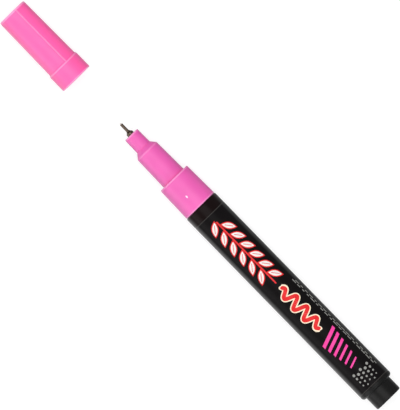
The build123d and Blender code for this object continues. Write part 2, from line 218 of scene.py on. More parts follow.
@dataclass(frozen=True)
class EffectShelf:
    """Builds each shared effect once, as a shader node group."""

    cloud_scale: float = 0.05
    cloud_span: Point = (0.35, 0.65)
    broad_span: Point = (0.3, 0.7)
    smear_stretch: Place = (0.35, 1.0, 1.0)
    smear_scale: float = 0.3
    smear_bend: float = 0.5
    hair_stretch: Place = (0.12, 6.0, 6.0)
    hair_span: Point = (0.7, 0.78)
    speck_scale: float = 0.4
    speck_chance: Point = (0.6, 1.0)
    speck_reach: Point = (0.0, 0.3)
    # spread of the strength of the painted edge highlight and shade
    edge_light_spread: Point = (0.75, 1.0)
    edge_limit: float = 2.0

    def group(self, effect: Effect) -> Tree:
        """Finds an effect's node group, or builds it at its first use.

        Args:
            effect: The effect.

        Returns:
            Its node group.
        """
        found = bpy.data.node_groups.get(effect.value)
        if found:
            return found
        makers: dict[Effect, Callable[[Tree], None]] = {
            Effect.GRAIN: self._grain,
            Effect.HANDLING: self._handling,
            Effect.TURNING: self._turning,
            Effect.SPECKS: self._specks,
            Effect.EDGES: self._edges,
        }
        tree = bpy.data.node_groups.new(effect.value, "ShaderNodeTree")
        makers[effect](tree)
        return tree

    @staticmethod
    def _open(tree: Tree, *outputs: str) -> tuple[Graph, Socket, Socket, Node]:
        """Gives a group its sockets.

        Args:
            tree: The group.
            outputs: Names of the values that it puts out.

        Returns:
            The graph, the place on the piece counted in sizes, the amount, and the output node.
        """
        for name in ("Size", "Amount"):
            socket = tree.interface.new_socket(name=name, in_out="INPUT", socket_type="NodeSocketFloat")
            socket.default_value = 1.0
        for name in outputs:
            tree.interface.new_socket(name=name, in_out="OUTPUT", socket_type="NodeSocketFloat")
        graph = Graph(tree)
        given = graph.node("NodeGroupInput").outputs
        inputs = {0: graph.place(), "Scale": graph.over(1 / MM, given["Size"])}
        scaled = graph.node("ShaderNodeVectorMath", inputs, operation="SCALE")
        return graph, scaled.outputs[0], given["Amount"], graph.node("NodeGroupOutput")

    def _grain(self, tree: Tree) -> None:
        """Fine pebbling of a mould's face, and the broad tone shifts in the plastic behind it.

        Args:
            tree: The new group.
        """
        graph, place, amount, out = self._open(tree, "Height", "Tone")
        pebbles = graph.noise(place, scale=1.0, detail=3.0)
        clouds = graph.noise(place, self.cloud_scale, detail=2.0)
        graph.feed(out, "Height", graph.times(pebbles, amount))
        graph.feed(out, "Tone", graph.fit(clouds, self.cloud_span))

    def _handling(self, tree: Tree) -> None:
        """Soft smears left by hands, drawn out along the marker, and hairline scratches.

        Args:
            tree: The new group.
        """
        graph, place, amount, out = self._open(tree, "Shine", "Scratch")
        drawn = graph.stretch(place, self.smear_stretch)
        smears = graph.noise(drawn, self.smear_scale, detail=4.0, distortion=self.smear_bend)
        hairs = graph.noise(graph.stretch(place, self.hair_stretch), scale=1.0, detail=1.0)
        graph.feed(out, "Shine", graph.times(graph.fit(smears, self.broad_span), amount))
        graph.feed(out, "Scratch", graph.times(graph.fit(hairs, self.hair_span), amount))

    def _turning(self, tree: Tree) -> None:
        """Rings round the axis, as drawing and turning leave them.

        Args:
            tree: The new group.
        """
        graph, place, amount, out = self._open(tree, "Height", "Tone")
        inputs = {"W": graph.axis(place, 0), "Scale": 1.0, "Detail": 2.0}
        rings = graph.node("ShaderNodeTexNoise", inputs, noise_dimensions="1D").outputs[0]
        graph.feed(out, "Height", graph.times(rings, amount))
        graph.feed(out, "Tone", graph.fit(rings, self.broad_span))

    def _specks(self, tree: Tree) -> None:
        """Small pale specks, thinly spread.

        Args:
            tree: The new group.
        """
        graph, place, amount, out = self._open(tree, "Mask")
        cells = graph.node("ShaderNodeTexVoronoi", {0: place, "Scale": self.speck_scale}).outputs
        chance = graph.node("ShaderNodeSeparateColor", {0: cells["Color"]}).outputs[0]
        reach = graph.fit(chance, self.speck_chance, self.speck_reach)
        graph.feed(out, "Mask", graph.times(graph.math("LESS_THAN", cells["Distance"], reach), amount))

    def _edges(self, tree: Tree) -> None:
        """Painted highlight along outer edges and painted shade along inner ones, from the piece's own edge
        attribute.

        Args:
            tree: The new group.
        """
        graph, place, amount, out = self._open(tree, "Light", "Dark")
        edge = graph.node("ShaderNodeAttribute", attribute_name=EDGE).outputs["Fac"]
        # a noise makes the painted highlight and shade patchy along the edges
        edge_light_patches = graph.fit(graph.noise(place, scale=1.0, detail=2.0), self.broad_span, self.edge_light_spread)
        strength = graph.times(edge_light_patches, amount)
        for name, limit in (("Light", self.edge_limit), ("Dark", -self.edge_limit)):
            graph.feed(out, name, graph.times(graph.fit(edge, (0.0, limit)), strength))


EFFECTS = EffectShelf()


class Surface(Graph):
    """The nodes of one material, round its shader."""

    def __init__(self, material: bpy.types.Material, **inputs: object) -> None:
        """Starts with the shader alone.

        Args:
            material: The material.
            inputs: Values of the shader's inputs, by name with _ for spaces.
        """
        material.use_nodes = True
        super().__init__(material.node_tree)
        self.shader = self.node("ShaderNodeBsdfPrincipled")
        self.set(**inputs)
        self.node("ShaderNodeOutputMaterial", {0: self.shader.outputs[0]})

    def set(self, **inputs: object) -> None:
        """Gives the shader values or sockets, by name with _ for spaces."""
        for name, value in inputs.items():
            self.feed(self.shader, name.replace("_", " "), value)

    def effect(self, effect: Effect, size: float, amount: float = 1.0) -> Outputs:
        """The values of a shared effect, at a size in millimetres and a strength."""
        inputs = {"Size": size, "Amount": amount}
        return self.node("ShaderNodeGroup", inputs, node_tree=EFFECTS.group(effect)).outputs

    def tint(self, mask: Socket, tone: Tone) -> None:
        """Lays another tone over the colour where a mask says so."""
        base = self.shader.inputs["Base Color"].links[0].from_socket
        self.set(Base_Color=self.mix(mask, base, tone.linear()))


@dataclass(frozen=True)
class Finish:
    """Moulded plastic, and what every finish has.

    That is two close tones, a span of roughness, a fine grain and its relief in millimetres, and the gloss.
    A finish with a rim has that much more gloss where it is seen at a slant, over the span rim_facing.
    """

    name: str
    tone: Tone
    shade: Tone
    roughness: Point
    grain_size: float
    relief: float
    gloss: float = 0.5
    rim: float = 0.0
    rim_facing: Point = (0.3, 0.65)
    smear_size: float = 2.0
    ior: float = 1.5

    def material(self) -> bpy.types.Material:
        """Finds the finish's material, or makes it at its first use.

        Returns:
            The material.
        """
        found = bpy.data.materials.get(self.name)
        if found:
            return found
        made = bpy.data.materials.new(self.name)
        surface = Surface(made, IOR=self.ior, Specular_IOR_Level=self.gloss)
        self.dress(surface)
        if self.rim:
            slant = surface.node("ShaderNodeLayerWeight", {"Blend": 0.5}).outputs["Facing"]
            levels = (self.gloss, self.gloss + self.rim)
            surface.set(Specular_IOR_Level=surface.fit(slant, self.rim_facing, levels))
        return made

    def paint(self, surface: Surface, tone: Socket, shine: Socket, height: Socket) -> None:
        """Sets the colour, the roughness and the relief.

        Args:
            surface: The material's nodes.
            tone: Mask between the finish's two tones.
            shine: Mask over its span of roughness.
            height: The relief, from 0 to 1.
        """
        inputs = {"Strength": 1.0, "Distance": self.relief * MM, "Height": height}
        surface.set(
            Base_Color=surface.mix(tone, self.tone.linear(), self.shade.linear()),
            Roughness=surface.fit(shine, (0.0, 1.0), self.roughness),
            Normal=surface.node("ShaderNodeBump", inputs).outputs[0],
        )

    def dress(self, surface: Surface) -> None:
        """Cloudy tone, pebbled relief, and smears that shift the shine.

        Args:
            surface: The material's nodes.
        """
        grain = surface.effect(Effect.GRAIN, self.grain_size)
        hands = surface.effect(Effect.HANDLING, self.smear_size)
        height = surface.take(grain["Height"], hands["Scratch"])
        self.paint(surface, grain["Tone"], hands["Shine"], height)


@dataclass(frozen=True)
class GlowingPlastic(Finish):
    """Light plastic that light sinks into a little."""

    depth: float = 0.3
    sunk_share: float = 0.15
    sunk_reach: Place = (1.0, 0.45, 0.8)

    def dress(self, surface: Surface) -> None:
        """Adds the soft depth of a light plastic.

        Args:
            surface: The material's nodes.
        """
        super().dress(surface)
        surface.set(Subsurface_Weight=self.sunk_share, Subsurface_Radius=self.sunk_reach)
        surface.set(Subsurface_Scale=self.depth * MM)


@dataclass(frozen=True)
class PinkPlastic(GlowingPlastic):
    """Pink plastic, with a painted highlight on its edges and painted shade in its hollows."""

    # painted highlight tone on outer edges, then painted shade tone in hollows
    edge: Tone = Tone(255, 176, 222)
    hollow: Tone = Tone(222, 52, 128)
    edge_light_size: float = 1.5

    def dress(self, surface: Surface) -> None:
        """Adds the painted highlight on edges and the painted shade in hollows.

        Args:
            surface: The material's nodes.
        """
        super().dress(surface)
        edges = surface.effect(Effect.EDGES, self.edge_light_size)
        surface.tint(edges["Light"], self.edge)
        surface.tint(edges["Dark"], self.hollow)


@dataclass(frozen=True)
class SparkedPlastic(Finish):
    """Matt plastic from a spark-eroded mould, with fine specks."""

    speck: Tone = Tone(58, 56, 54)
    speck_size: float = 0.3
    speck_amount: float = 0.3

    def dress(self, surface: Surface) -> None:
        """Adds specks over the moulded base.

        Args:
            surface: The material's nodes.
        """
        super().dress(surface)
        specks = surface.effect(Effect.SPECKS, self.speck_size, self.speck_amount)
        surface.tint(specks["Mask"], self.speck)


@dataclass(frozen=True)
class LabelFilm(Finish):
    """Printed film: dark, satin, with pale bands at its two ends, partly its pale cut edges and partly
    painted highlight.
    """

    # pale end band: the film's cut edge, with painted highlight
    edge: Tone = Tone(64, 62, 60)
    edge_width: float = 0.28
    edge_core: float = 0.4

    def dress(self, surface: Surface) -> None:
        """Adds the pale end bands, cut edge and painted highlight, to the satin film.

        Args:
            surface: The material's nodes.
        """
        super().dress(surface)
        first, last = span("barrel_label")
        half = (last - first) / 2
        from_middle = surface.take(surface.axis(surface.place(), 0), (first + last) / 2 * MM)
        rise = ((half - self.edge_width) * MM, (half - self.edge_core * self.edge_width) * MM)
        surface.tint(surface.fit(surface.math("ABSOLUTE", from_middle), rise), self.edge)


@dataclass(frozen=True)
class PrintInk(Finish):
    """Ink on the film: even colour with a faint mottle where it lies thinner."""

    grain_size: float = 0.2
    relief: float = 0.002
    gloss: float = 0.15
    mottle_span: Point = (0.35, 0.7)

    def dress(self, surface: Surface) -> None:
        """Mottles the ink and lets its shine follow the mottle.

        Args:
            surface: The material's nodes.
        """
        grain = surface.effect(Effect.GRAIN, self.grain_size)
        mottle = surface.fit(grain["Height"], self.mottle_span)
        self.paint(surface, mottle, mottle, grain["Height"])


@dataclass(frozen=True)
class DrawnSteel(Finish):
    """Metal with the rings of drawing and turning, its grain size their pitch."""

    smear_size: float = 0.8

    def dress(self, surface: Surface) -> None:
        """Rings in tone and relief, under hand smears.

        Args:
            surface: The material's nodes.
        """
        surface.set(Metallic=1.0)
        rings = surface.effect(Effect.TURNING, self.grain_size)
        hands = surface.effect(Effect.HANDLING, self.smear_size)
        self.paint(surface, rings["Tone"], hands["Shine"], rings["Height"])


@dataclass(frozen=True)
class Fibre(Finish):
    """Bundled fibres that run along the core, dry at the tip."""

    smear_size: float = 0.25

    def dress(self, surface: Surface) -> None:
        """Streaks along the core and a dusty, uneven shine.

        Args:
            surface: The material's nodes.
        """
        streaks = surface.effect(Effect.HANDLING, self.smear_size)["Shine"]
        grain = surface.effect(Effect.GRAIN, self.grain_size)
        self.paint(surface, streaks, grain["Tone"], streaks)


CAP_PINK = PinkPlastic(
    "satin_pink_plastic", Tone(255, 88, 168), Tone(255, 85, 165), (0.46, 0.58), 0.4, 0.003,
    gloss=0.62, rim=0.9,
)
FRONT_PINK = replace(
    CAP_PINK, name="satin_magenta_plastic", tone=Tone(227, 85, 172), shade=Tone(223, 82, 169), rim=0.55
)
# the gate scar's shape is real; its near-white tone is a painted highlight
GATE_SCAR_HIGHLIGHT = Finish("gate_scar_painted_highlight", Tone(255, 226, 242), Tone(255, 212, 236), (0.3, 0.45), 0.15, 0.004)
GLOSS_BLACK = Finish(
    "gloss_black_plastic", Tone(19, 9, 9), Tone(16, 7, 7), (0.26, 0.36), 0.5, 0.002,
    gloss=0.047, rim=0.24, rim_facing=(0.36, 0.6),
)
MATT_BLACK = SparkedPlastic(
    "spark_textured_black", Tone(10, 10, 9), Tone(8, 8, 8), (0.36, 0.44), 0.22, 0.006,
    gloss=0.115, rim=0.16, rim_facing=(0.4, 0.65),
)
FILM = LabelFilm(
    "black_label_film", Tone(17, 15, 16), Tone(15, 13, 14), (0.3, 0.4), 0.6, 0.002,
    gloss=0.032, rim=0.28, rim_facing=(0.38, 0.54),
)
STEEL = DrawnSteel("drawn_steel", Tone(80, 69, 60), Tone(58, 49, 42), (0.14, 0.24), 0.12, 0.001)
SPRING_STEEL = DrawnSteel("spring_steel", Tone(168, 164, 158), Tone(142, 138, 133), (0.22, 0.34), 0.3, 0.002)
BALL_STEEL = DrawnSteel(
    "polished_ball_steel", Tone(186, 184, 180), Tone(170, 168, 165), (0.12, 0.22), 0.6, 0.001
)
NIB = Fibre("pale_nib_fibre", Tone(236, 230, 224), Tone(206, 196, 190), (0.6, 0.8), 0.1, 0.01)
NATURAL = GlowingPlastic(
    "natural_white_plastic", Tone(226, 226, 220), Tone(216, 216, 208), (0.4, 0.52), 0.4, 0.004, depth=0.8
)
RUBBER = SparkedPlastic(
    "dusty_black_rubber", Tone(40, 40, 41), Tone(34, 34, 35), (0.6, 0.75), 0.25, 0.01, gloss=0.3
)


class Ink(Enum):
    """Inks of the film's pattern."""

    WHITE = PrintInk("white_ink", Tone(234, 231, 228), Tone(224, 220, 217), (0.4, 0.5))
    RED = PrintInk("red_ink", Tone(224, 38, 40), Tone(210, 32, 36), (0.38, 0.48))
    CREAM = PrintInk("cream_ink", Tone(250, 232, 205), Tone(240, 220, 192), (0.4, 0.5))
    PINK = PrintInk("pink_ink", Tone(240, 70, 160), Tone(228, 60, 150), (0.38, 0.48))
    GREY = PrintInk("grey_ink", Tone(150, 150, 146), Tone(134, 134, 130), (0.42, 0.52))


def settle(piece: Piece, body: Body, slot: str, finish: Finish, *nodes: str) -> None:
    """Gives a finished mesh its material, its body and the CAD nodes that it stands for.

    Args:
        piece: The finished object.
        body: Body that carries it.
        slot: Slot of the record that its finish belongs to. Not used.
        finish: Its finish.
        nodes: CAD nodes that it replaces.
    """
    if not piece.data.materials:
        piece.data.materials.append(finish.material())
    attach(piece, body.value)
    if nodes:
        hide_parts(*nodes)
    LOG.info("%s rides on %s", piece.name, body.value)


def dress_node(node: str, finish: Finish) -> None:
    """Gives a CAD node that keeps its solid its finish.

    Args:
        node: Name of the node.
        finish: Its finish.
    """
    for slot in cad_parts[node].material_slots:
        slot.material = finish.material()
    LOG.info("%s keeps its solid, in %s", node, finish.name)


def new_object(
    name: str,
    vertices: Sequence[Place],
    faces: Sequence[Sequence[int]],
    sharp: float = 35.0,
    edges: Sequence[float] = (),
) -> Piece:
    """Makes a smooth-shaded object from points in millimetres.

    Args:
        name: Name of the object.
        vertices: Points in millimetres, in the marker's frame. Points in one place become one.
        faces: Corners of each face.
        sharp: Least angle in degrees of an edge that stays sharp.
        edges: Edge value of each point, above nought on outer edges for painted highlight and below it in
            hollows for painted shade.

    Returns:
        The new object, in the scene, with its faces outwards.
    """
    mesh = bpy.data.meshes.new(name)
    mesh.from_pydata([Vector(point) * MM for point in vertices], [], faces)
    if edges:
        mesh.attributes.new(EDGE, "FLOAT", "POINT").data.foreach_set("value", edges)
    shape = bmesh.new()
    shape.from_mesh(mesh)
    bmesh.ops.remove_doubles(shape, verts=shape.verts, dist=WELD)
    bmesh.ops.recalc_face_normals(shape, faces=shape.faces)
    shape.to_mesh(mesh)
    shape.free()
    mesh.shade_smooth()
    mesh.set_sharp_from_angle(angle=math.radians(sharp))
    made = bpy.data.objects.new(name, mesh)
    bpy.context.scene.collection.objects.link(made)
    return made


def skin(rows: int, columns: int, closed: bool = False) -> list[tuple[int, ...]]:
    """Faces over rows of points, each row a closed ring.

    Args:
        rows: Count of rows.
        columns: Count of points in a row.
        closed: Whether the last row joins the first.

    Returns:
        Corners of each face, the points counted row by row.
    """
    faces = []
    for row in range(rows if closed else rows - 1):
        low, high = row * columns, (row + 1) % rows * columns
        for column in range(columns):
            side = (column + 1) % columns
            faces.append((low + column, low + side, high + side, high + column))
    return faces


def on_axis(x: float, radius: float, angle: float) -> Place:
    """Point at a station, radius and angle, the angle turned from up towards +Y."""
    return x, radius * math.sin(angle), AXIS_HEIGHT + radius * math.cos(angle)


@dataclass(frozen=True)
class Corner:
    """A corner of a turned outline. Its bend is its round and the reach and strength of its edge tint, which
    paints a highlight on an outer corner and shade in a hollow.
    """

    x: float
    r: float
    round: float = 0.0
    fade: float = 0.2
    tint: float = 1.0


@dataclass
class Turned:
    """A piece turned about the marker's axis from an outline of corners.

    A round has two support points on each side. The near one has part of its edge tint, the painted highlight
    or shade, and the far one none.
    Each takes no more than its share of the room that the rounds leave there.
    """

    name: str
    corners: Sequence[Corner]
    closed: bool = True
    segments: int = 160
    round_steps: int = 7
    support_share: float = 0.4
    support_tint: float = 0.8
    near_room: float = 1 / 3
    far_room: float = 0.4

    def turning(self) -> float:
        """Twice the outline's area, above nought if it runs anticlockwise."""
        pairs = zip(self.corners, [*self.corners[1:], self.corners[0]])
        return sum(first.x * last.r - last.x * first.r for first, last in pairs)

    def sides(self, index: int) -> tuple[Vector, Vector]:
        """The two sides that meet at a corner.

        Args:
            index: The corner.

        Returns:
            The way to the corner before it and the way to the one after it.
        """
        count = len(self.corners)
        before, here, after = (self.corners[(index + step) % count] for step in (-1, 0, 1))
        return Vector((before.x - here.x, before.r - here.r)), Vector((after.x - here.x, after.r - here.r))

    def reach(self, index: int) -> float:
        """Room that a corner's round takes up.

        Args:
            index: The corner. A count past the last one starts again at the first.

        Returns:
            Length that it takes of each of the corner's sides.
        """
        index %= len(self.corners)
        back, ahead = self.sides(index)
        return self.corners[index].round / math.tan(back.angle(ahead) / 2)

    def supports(self, index: int, side: Vector, neighbour: int) -> list[Point]:
        """Support points of a corner's round on one side.

        Args:
            index: The corner.
            side: The way to the next corner on that side.
            neighbour: That corner.

        Returns:
            The near and the far point: its distance from the corner, and its share of the edge tint.
        """
        corner = self.corners[index]
        reach = self.reach(index)
        room = side.length - reach - self.reach(neighbour)
        near = self.support_share * corner.round
        return [
            (reach + min(near, self.near_room * room), self.support_tint),
            (reach + min(near + corner.fade, self.far_room * room), 0.0),
        ]

    def outline(self) -> list[Place]:
        """The outline in full, each round as an arc between its supports.

        Returns:
            Station, radius and edge value of each point.
        """
        direction = math.copysign(1.0, self.turning())
        points: list[Place] = []
        for index, corner in enumerate(self.corners):
            here = Vector((corner.x, corner.r))
            inner = self.closed or 0 < index < len(self.corners) - 1
            if not corner.round or not inner:
                points.append((*here, 0.0))
                continue
            back, ahead = self.sides(index)
            # outer corners get painted highlight, inner corners painted shade
            value = math.copysign(corner.tint, direction * (ahead.x * back.y - ahead.y * back.x))
            before, after = back.normalized(), ahead.normalized()
            middle = (before + after).normalized() * (corner.round / math.sin(back.angle(ahead) / 2))
            first = before * self.reach(index) - middle
            last = after * self.reach(index) - middle
            for distance, share in reversed(self.supports(index, back, index - 1)):
                points.append((*(here + before * distance), share * value))
            for step in range(self.round_steps + 1):
                arm = first.lerp(last, step / self.round_steps).normalized() * corner.round
                points.append((*(here + middle + arm), value))
            for distance, share in self.supports(index, ahead, index + 1):
                points.append((*(here + after * distance), share * value))
        return points

    def angles(self) -> list[float]:
        """Angles of the sections round the axis."""
        return [math.tau * index / self.segments for index in range(self.segments)]

    def swell(self, x: float, radius: float, angle: float) -> float:
        """Extra radius at a place on the surface."""
        return 0.0

    def tint(self, x: float, radius: float, angle: float, edge: float) -> float:
        """Edge value at a place on the surface, from the outline's: painted highlight above nought, painted
        shade below.
        """
        return edge

    def build(self) -> Piece:
        """Turns the outline about the axis.

        Returns:
            The turned piece.
        """
        outline = self.outline()
        angles = self.angles()
        vertices: list[Place] = []
        edges: list[float] = []
        for x, radius, edge in outline:
            for angle in angles:
                vertices.append(on_axis(x, radius + self.swell(x, radius, angle), angle))
                edges.append(self.tint(x, radius, angle, edge))
        return new_object(self.name, vertices, skin(len(outline), len(angles), self.closed), edges=edges)


@dataclass(kw_only=True)
class RibbedCapShell(Turned):
    """The cap's shell, with one thin rib along its body."""

    rib_from: float
    rib_to: float
    rib_above: float
    rib_angle: float = math.radians(16)
    rib_width: float = 0.62
    rib_height: float = 0.17
    rib_fade: float = 0.25
    rib_steps: int = 12
    start_steps: int = 4
    foot_reach: float = 1.5
    crest_reach: float = 0.99
    # painted highlight on the rib's crest and its start, painted shade along its feet
    crest_highlight: float = 0.6
    start_highlight: float = 1.6
    foot_shade: float = -1.2

    def angles(self) -> list[float]:
        """Even sections, with closer ones across the rib.

        Returns:
            Angles of the sections, in order.
        """
        half = self.rib_width / 2 / self.rib_above
        foot = self.foot_reach * half
        fine = [-half * math.cos(math.pi * step / self.rib_steps) for step in range(self.rib_steps + 1)]
        room = foot + math.pi / self.segments
        even = [angle for angle in super().angles() if abs(angle - self.rib_angle) > room]
        return sorted(even + [self.rib_angle + offset for offset in (*fine, -foot, foot)])

    def offset(self, x: float, radius: float, angle: float) -> float:
        """How far a place lies from the rib's middle.

        Args:
            x: Station of the place.
            radius: Its radius.
            angle: Its angle.

        Returns:
            The distance in half widths, without end where the cap has no rib.
        """
        if radius < self.rib_above or not self.rib_from <= x <= self.rib_to:
            return math.inf
        return abs(angle - self.rib_angle) * radius / (self.rib_width / 2)

    def tint(self, x: float, radius: float, angle: float, edge: float) -> float:
        """Painted highlight along the rib's crest, brightest at its closed end, and painted shade along its
        feet.

        Args:
            x: Station of the place.
            radius: Its radius.
            angle: Its angle.
            edge: Edge value of the outline there.

        Returns:
            Edge value at the place.
        """
        offset = self.offset(x, radius, angle)
        if offset >= self.foot_reach:
            return edge
        if offset >= self.crest_reach:
            return self.foot_shade
        return max(edge, self.start_highlight if x < self.rib_from + 2 * self.rib_height else self.crest_highlight)

    def swell(self, x: float, radius: float, angle: float) -> float:
        """The rib: rounded across, rising at its closed end and falling at the other.

        Args:
            x: Station of the place.
            radius: Its radius.
            angle: Its angle.

        Returns:
            Height of the rib at the place.
        """
        across = math.sqrt(max(0.0, 1 - self.offset(x, radius, angle) ** 2))
        ends = min(1.0, (x - self.rib_from) / self.rib_height, (self.rib_to - x) / self.rib_fade)
        return self.rib_height * across * ends

    def outline(self) -> list[Place]:
        """The cap's outline, with extra points where the rib starts and ends.

        Returns:
            Station, radius and edge value of each point.
        """
        points = super().outline()
        starts = [self.rib_from + step * self.rib_height for step in range(self.start_steps)]
        extra: list[Place] = []
        for first, last in zip(points, points[1:]):
            extra.append(first)
            if min(first[1], last[1]) < self.rib_above:
                continue
            for station in (*starts, self.rib_to - self.rib_fade, self.rib_to):
                if first[0] < station < last[0]:
                    share = (station - first[0]) / (last[0] - first[0])
                    extra.append(tuple(low + share * (high - low) for low, high in zip(first, last)))
        return [*extra, points[-1]]


@dataclass
class Cap:
    """The pull-off cap: a ribbed shell over a white liner."""

    end_radius: float = 5.225
    body_radius: float = 5.45
    skirt_radius: float = 5.8
    skirt_length: float = 6.15
    shoulder_length: float = 0.5
    post_radius: float = 5.05
    post_depth: float = 5.5
    grip_radius: float = 4.36
    end_wall: float = 1.3
    end_round: float = 0.42
    shoulder_bend: Bend = (0.12, 0.1, 0.4)
    skirt_round: float = 0.3
    mouth_round: float = 0.2
    bore_round: float = 0.2
    step_round: float = 0.1
    # strength of the painted highlight on the rims of the closed end and the mouth
    rim_highlight: float = 1.4
    rib_overlap: float = 0.25
    rib_margin: float = 0.1

    def build(self) -> None:
        """Builds the shell and dresses the liner."""
        end, mouth = span("cap")
        skirt = mouth - self.skirt_length
        shoulder = skirt - self.shoulder_length
        step = mouth - self.post_depth
        floor = end + self.end_wall
        shell = RibbedCapShell(
            "cap_shell",
            [
                Corner(end, 0),
                Corner(end, self.end_radius, self.end_round, tint=self.rim_highlight),
                Corner(shoulder, self.body_radius, *self.shoulder_bend),
                Corner(skirt, self.skirt_radius, self.skirt_round),
                Corner(mouth, self.skirt_radius, self.mouth_round, tint=self.rim_highlight),
                Corner(mouth, self.post_radius, self.bore_round),
                Corner(step, self.post_radius, self.step_round),
                Corner(step, self.grip_radius, self.bore_round),
                Corner(floor, self.grip_radius, self.bore_round),
                Corner(floor, 0),
            ],
            closed=False,
            rib_from=end + self.end_round,
            rib_to=shoulder + self.rib_overlap,
            rib_above=self.end_radius - self.rib_margin,
        )
        settle(shell.build(), Body.CAP, "pink_plastic", CAP_PINK, "cap")
        dress_node("inner_cap", NATURAL)


@dataclass
class FrontSection:
    """The pink moulding in three steps, with the scar of its gate."""

    snout_length: float = 5.65
    cone_length: float = 1.7
    nose_length: float = 12.15
    collar_length: float = 12.3
    snout_radii: Point = (2.7, 2.775)
    nose_radii: Point = (4.197, 4.397)
    collar_radii: Point = (5.875, 6.1)
    spigot_radius: float = 5.02
    pocket_radius: float = 3.82
    pocket_depth: float = 6.0
    chamber_radius: float = 2.997
    nose_wall: float = 1.2
    guide_radius: float = 1.91
    lip_radius: float = 1.285
    lip_length: float = 1.0
    groove_inset: float = 0.6
    groove_width: float = 0.9
    groove_depth: float = 0.7
    lip_round: float = 0.08
    snout_round: float = 0.3
    cone_bend: Bend = (0.15, 0.3, 0.5)
    nose_bend: Bend = (0.35, 0.2, 0.55)
    foot_bend: Bend = (0.12, 0.7, 1.0)
    collar_round: float = 0.32
    rear_round: float = 0.25
    spigot_round: float = 0.2
    scar_length: float = 1.0
    scar_width: float = 0.55
    scar_height: float = 0.05
    scar_back: float = 5.1
    scar_across: float = -1.16
    scar_points: int = 28
    scar_sharp: float = 60.0

    def build(self) -> None:
        """Builds the moulding and its gate scar, and dresses the seal ring."""
        front, rear = span("front_section")
        cone = front + self.snout_length
        nose = cone + self.cone_length
        collar = nose + self.nose_length
        barrel = collar + self.collar_length
        groove = barrel + self.groove_inset
        groove_end = groove + self.groove_width
        groove_radius = self.spigot_radius - self.groove_depth
        pocket = rear - self.pocket_depth
        chamber = nose + self.nose_wall
        guide = front + self.lip_length
        moulding = Turned(
            "front_moulding",
            [
                Corner(front, self.lip_radius, self.lip_round),
                Corner(front, self.snout_radii[0], self.snout_round),
                Corner(cone, self.snout_radii[1], *self.cone_bend),
                Corner(nose, self.nose_radii[0], *self.nose_bend),
                Corner(collar, self.nose_radii[1], *self.foot_bend),
                Corner(collar, self.collar_radii[0], self.collar_round),
                Corner(barrel, self.collar_radii[1], self.rear_round),
                Corner(barrel, self.spigot_radius),
                Corner(groove, self.spigot_radius),
                Corner(groove, groove_radius),
                Corner(groove_end, groove_radius),
                Corner(groove_end, self.spigot_radius),
                Corner(rear, self.spigot_radius, self.spigot_round),
                Corner(rear, self.pocket_radius),
                Corner(pocket, self.pocket_radius),
                Corner(pocket, self.chamber_radius),
                Corner(chamber, self.chamber_radius),
                Corner(chamber, self.guide_radius),
                Corner(guide, self.guide_radius),
                Corner(guide, self.lip_radius),
            ],
        )
        settle(moulding.build(), Body.MARKER, "pink_plastic", FRONT_PINK, "front_section")
        # gate scar, its pale tone a painted highlight
        settle(self._scar(collar, barrel), Body.MARKER, "pink_plastic", GATE_SCAR_HIGHLIGHT)
        dress_node("barrel_seal", RUBBER)

    def _scar(self, collar: float, barrel: float) -> Piece:
        """The low oval scar that the gate leaves on the collar.

        Args:
            collar: Station of the collar's front.
            barrel: Station of the collar's rear.

        Returns:
            The scar, a closed dome let into the collar.
        """
        station = barrel - self.scar_back
        share = (station - collar) / (barrel - collar)
        radius = self.collar_radii[0] + share * (self.collar_radii[1] - self.collar_radii[0])
        turn = math.asin(self.scar_across / radius)
        # Rings from the middle of its underside to its top, each with its reach and its height.
        rings = ((0.0, -1.0), (1.0, -1.0), (1.0, 0.2), (0.85, 0.6), (0.55, 0.9), (0.25, 1.0), (0.0, 1.0))
        vertices: list[Place] = []
        for reach, rise in rings:
            for step in range(self.scar_points):
                angle = math.tau * step / self.scar_points
                along = station + math.cos(angle) * reach * self.scar_length / 2
                across = math.sin(angle) * reach * self.scar_width / 2
                vertices.append(on_axis(along, radius + rise * self.scar_height, turn + across / radius))
        return new_object("collar_gate_scar", vertices, skin(len(rings), self.scar_points), self.scar_sharp)


@dataclass
class NeedleTip:
    """The steel sleeve and the pale core that stands out of it, on their white holder."""

    tube_radius: float = 0.5
    bore_radius: float = 0.38
    tube_length: float = 2.8
    flare_length: float = 1.0
    flare_power: float = 1.8
    flare_steps: int = 10
    base_radius: float = 1.225
    socket_radius: float = 0.9
    socket_depth: float = 1.3
    tube_round: float = 0.07
    base_round: float = 0.08
    sleeve_segments: int = 64
    core_radius: float = 0.35
    point_round: float = 0.3
    end_round: float = 0.05
    core_segments: int = 48

    def build(self) -> None:
        """Builds the sleeve and the core and dresses the holder."""
        front, rear = span("needle_sleeve")
        flare = front + self.tube_length
        socket = rear - self.socket_depth
        curve = []
        for step in range(1, self.flare_steps):
            share = step / self.flare_steps
            rise = (self.base_radius - self.tube_radius) * share**self.flare_power
            curve.append(Corner(flare + share * self.flare_length, self.tube_radius + rise))
        sleeve = Turned(
            "steel_needle_sleeve",
            [
                Corner(front, self.bore_radius),
                Corner(front, self.tube_radius, self.tube_round),
                Corner(flare, self.tube_radius),
                *curve,
                Corner(flare + self.flare_length, self.base_radius, self.base_round),
                Corner(rear, self.base_radius),
                Corner(rear, self.socket_radius),
                Corner(socket, self.socket_radius),
                Corner(socket, self.bore_radius),
            ],
            segments=self.sleeve_segments,
        )
        settle(sleeve.build(), Body.TIP, "steel", STEEL, "needle_sleeve")
        tip, end = span("nib_core")
        core = Turned(
            "writing_core",
            [
                Corner(tip, 0),
                Corner(tip, self.core_radius, self.point_round),
                Corner(end, self.core_radius, self.end_round),
                Corner(end, 0),
            ],
            closed=False,
            segments=self.core_segments,
        )
        settle(core.build(), Body.TIP, "nib_fibre", NIB, "nib_core")
        dress_node("tip_holder", NATURAL)


